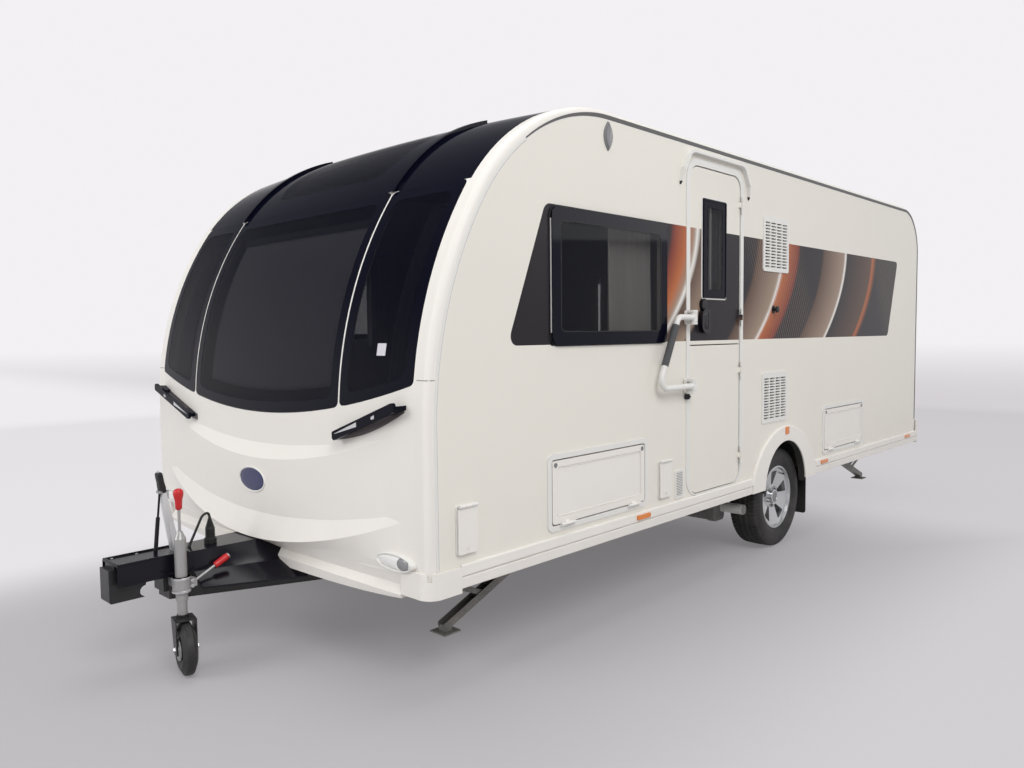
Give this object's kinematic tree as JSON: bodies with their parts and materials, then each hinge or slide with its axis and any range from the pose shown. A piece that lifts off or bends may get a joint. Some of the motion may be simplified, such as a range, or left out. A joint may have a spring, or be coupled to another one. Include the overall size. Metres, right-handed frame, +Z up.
{
  "type": "travel caravan",
  "caption": "Single-axle travel caravan with curved glazed front, stable door, lockers, swinging hand rail, rooflights, corner steadies, covered drawbar and jockey wheel.",
  "frame": {"origin": "on the ground under the middle of the overall length and width", "axes": "+X to the door side, +Y to the rear, +Z up; the coupling points to -Y"},
  "size_m": [2.397, 6.285, 2.496],
  "materials": {
    "body_skin": "satin cream-white",
    "moulding": "glossy warm white",
    "floor": "sealed board",
    "dark_gloss": "gloss blue-black",
    "window": "dark tinted acrylic",
    "galvanised": "galvanised",
    "dark_plastic": "grained black",
    "cast_black": "black paint",
    "lever_metal": "silver",
    "mover_grey": "satin grey",
    "rubber_black": "matt",
    "tyre_rubber": "matt",
    "alloy": "silver lacquer",
    "white_plastic": "satin white",
    "rail_tube": "white with grey grip",
    "amber_lens": "amber lens",
    "red_lens": "red lens",
    "smoke_lid": "smoked lid"
  },
  "bodies": {
    "caravan": {"floor_panel": "floor", "wall_right": "body_skin", "wall_left": "body_skin", "roof_panel": "body_skin", "rear_panel": "body_skin", "front_panel": "moulding", "front_surround": "moulding", "front_cap": "dark_gloss", "front_windows": "window", "corner_rails": "moulding", "skirts": "moulding", "arch_trims": "moulding", "bumpers": "moulding", "chassis": "galvanised", "axle": "galvanised", "drawbar": "galvanised", "drawbar_cover": "dark_plastic", "coupling": "cast_black", "hand_brake": "lever_metal", "towing_lead": "dark_plastic", "jockey_tube": "galvanised", "steady_mounts": "galvanised", "movers": "mover_grey", "mudflaps": "rubber_black", "fridge_vents": "white_plastic", "side_markers": "amber_lens", "grab_handles": "dark_gloss", "side_windows": "window", "rear_lamps": "red_lens", "hand_rail_feet": "white_plastic", "rooflight_frames": "white_plastic", "door_surround": "white_plastic", "hatch_frames": "white_plastic"},
    "wheel_right": {"tyre_right": "tyre_rubber", "rim_right": "alloy"},
    "wheel_left": {"tyre_left": "tyre_rubber", "rim_left": "alloy"},
    "jockey_stem": {"jockey_stem": "galvanised"},
    "jockey_fork": {"jockey_fork": "galvanised"},
    "jockey_wheel": {"jockey_wheel": "rubber_black"},
    "door_lower": {"door_lower": "body_skin"},
    "door_upper": {"door_upper": "body_skin", "door_window": "window", "door_latch": "dark_plastic"},
    "hand_rail": {"hand_rail": "rail_tube"},
    "locker_front": {"locker_door_front": "moulding"},
    "locker_rear": {"locker_door_rear": "moulding"},
    "flap_front": {"flap_front": "moulding"},
    "flap_rear": {"flap_rear": "moulding"},
    "rooflight_front": {"rooflight_lid_front": "smoke_lid"},
    "rooflight_rear": {"rooflight_lid_rear": "smoke_lid"},
    "steady_front_right": {"steady_front_right": "galvanised"},
    "strut_front_right": {"steady_strut_front_right": "galvanised"},
    "steady_front_left": {"steady_front_left": "galvanised"},
    "strut_front_left": {"steady_strut_front_left": "galvanised"},
    "steady_rear_right": {"steady_rear_right": "galvanised"},
    "strut_rear_right": {"steady_strut_rear_right": "galvanised"},
    "steady_rear_left": {"steady_rear_left": "galvanised"},
    "strut_rear_left": {"steady_strut_rear_left": "galvanised"}
  },
  "joints": [
    {"name": "wheel_right_spin", "type": "hinge", "parent": "caravan", "child": "wheel_right", "pos_m": [1.03, 0.5605, 0.317], "axis": [1, 0, 0], "continuous": true},
    {"name": "wheel_left_spin", "type": "hinge", "parent": "caravan", "child": "wheel_left", "pos_m": [-1.03, 0.5605, 0.317], "axis": [1, 0, 0], "continuous": true},
    {"name": "jockey_wind", "type": "slide", "parent": "caravan", "child": "jockey_stem", "axis": [0, 0, 1], "range_m": [-0.108, 0.05]},
    {"name": "jockey_swivel", "type": "hinge", "parent": "jockey_stem", "child": "jockey_fork", "pos_m": [0.135, -2.8905, 0.235], "axis": [0, 0, 1], "continuous": true},
    {"name": "jockey_spin", "type": "hinge", "parent": "jockey_fork", "child": "jockey_wheel", "pos_m": [0.17413, -2.89882, 0.11], "axis": [-0.2079, -0.9781, 0], "continuous": true},
    {"name": "steady_front_right_lower", "type": "hinge", "parent": "caravan", "child": "steady_front_right", "pos_m": [0.95, -1.7405, 0.372], "axis": [1, 0, 0], "range_deg": [-18, 23]},
    {"name": "strut_front_right_fold", "type": "hinge", "parent": "steady_front_right", "child": "strut_front_right", "pos_m": [0.95, -1.96302, 0.28209], "axis": [1, 0, 0], "range_deg": [-46, 36]},
    {"name": "steady_front_left_lower", "type": "hinge", "parent": "caravan", "child": "steady_front_left", "pos_m": [-0.95, -1.7405, 0.372], "axis": [1, 0, 0], "range_deg": [-18, 23]},
    {"name": "strut_front_left_fold", "type": "hinge", "parent": "steady_front_left", "child": "strut_front_left", "pos_m": [-0.95, -1.96302, 0.28209], "axis": [1, 0, 0], "range_deg": [-46, 36]},
    {"name": "steady_rear_right_lower", "type": "hinge", "parent": "caravan", "child": "steady_rear_right", "pos_m": [0.95, 1.9505, 0.372], "axis": [-1, 0, 0], "range_deg": [-18, 23]},
    {"name": "strut_rear_right_fold", "type": "hinge", "parent": "steady_rear_right", "child": "strut_rear_right", "pos_m": [0.95, 2.17302, 0.28209], "axis": [-1, 0, 0], "range_deg": [-46, 36]},
    {"name": "steady_rear_left_lower", "type": "hinge", "parent": "caravan", "child": "steady_rear_left", "pos_m": [-0.95, 1.9505, 0.372], "axis": [-1, 0, 0], "range_deg": [-18, 23]},
    {"name": "strut_rear_left_fold", "type": "hinge", "parent": "steady_rear_left", "child": "strut_rear_left", "pos_m": [-0.95, 2.17302, 0.28209], "axis": [-1, 0, 0], "range_deg": [-46, 36]},
    {"name": "door_lower_open", "type": "hinge", "parent": "caravan", "child": "door_lower", "pos_m": [1.169, -0.0715, 0.914], "axis": [0, 0, 1], "range_deg": [0, 165]},
    {"name": "door_upper_open", "type": "hinge", "parent": "caravan", "child": "door_upper", "pos_m": [1.169, -0.0715, 1.778], "axis": [0, 0, 1], "range_deg": [0, 165]},
    {"name": "hand_rail_swing", "type": "hinge", "parent": "caravan", "child": "hand_rail", "pos_m": [1.201, -0.6475, 1.2795], "axis": [0, 0, 1], "range_deg": [0, 180]},
    {"name": "locker_front_open", "type": "hinge", "parent": "caravan", "child": "locker_front", "pos_m": [1.17, -1.385, 0.556], "axis": [0, 1, 0], "range_deg": [0, 150]},
    {"name": "locker_rear_open", "type": "hinge", "parent": "caravan", "child": "locker_rear", "pos_m": [1.17, 1.496, 0.556], "axis": [0, 1, 0], "range_deg": [0, 150]},
    {"name": "flap_front_open", "type": "hinge", "parent": "caravan", "child": "flap_front", "pos_m": [1.173, -2.2375, 0.7325], "axis": [0, -1, 0], "range_deg": [0, 110]},
    {"name": "flap_rear_open", "type": "hinge", "parent": "caravan", "child": "flap_rear", "pos_m": [1.173, -0.8605, 0.7325], "axis": [0, -1, 0], "range_deg": [0, 110]},
    {"name": "rooflight_front_open", "type": "hinge", "parent": "caravan", "child": "rooflight_front", "pos_m": [0, -0.901, 2.47], "axis": [1, 0, 0], "range_deg": [0, 50]},
    {"name": "rooflight_rear_open", "type": "hinge", "parent": "caravan", "child": "rooflight_rear", "pos_m": [0, 1.379, 2.47], "axis": [1, 0, 0], "range_deg": [0, 60]}
  ],
  "couplings": [
    {"joint": "strut_front_right_fold", "follows": "steady_front_right_lower", "ratio": -2},
    {"joint": "strut_front_left_fold", "follows": "steady_front_left_lower", "ratio": -2},
    {"joint": "strut_rear_right_fold", "follows": "steady_rear_right_lower", "ratio": -2},
    {"joint": "strut_rear_left_fold", "follows": "steady_rear_left_lower", "ratio": -2}
  ]
}
